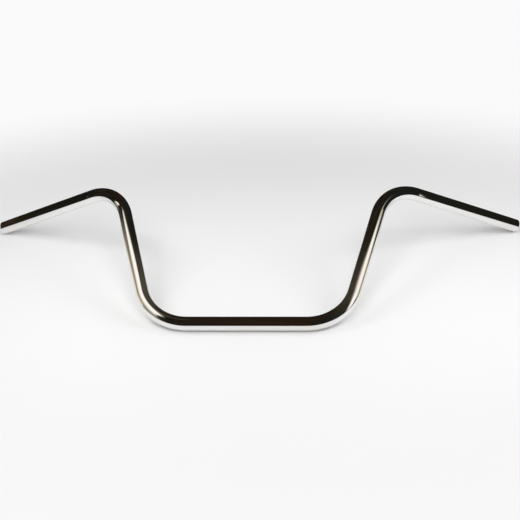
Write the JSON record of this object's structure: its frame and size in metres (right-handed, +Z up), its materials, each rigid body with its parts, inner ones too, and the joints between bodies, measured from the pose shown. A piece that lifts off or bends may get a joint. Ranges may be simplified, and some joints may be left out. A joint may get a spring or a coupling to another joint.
{
  "type": "ape hanger handlebar",
  "caption": "High-rise motorbike handlebar bent from chrome-plated steel tube, with a straight clamp section, tall risers and pulled-back open-ended grip sections.",
  "frame": {"origin": "centre of the clamp section, on the tube's axis, 11.1 mm above the floor that the bar rests on", "axes": "+X along the clamp section towards the picture's right, +Y from the clamp section towards the grips, +Z up from the floor"},
  "size_m": [0.894, 0.3204, 0.1217],
  "materials": {
    "chromed_tube": "polished chrome plating on steel tube"
  },
  "bodies": {
    "root": {"handlebar_tube": "chromed_tube"}
  },
  "joints": []
}
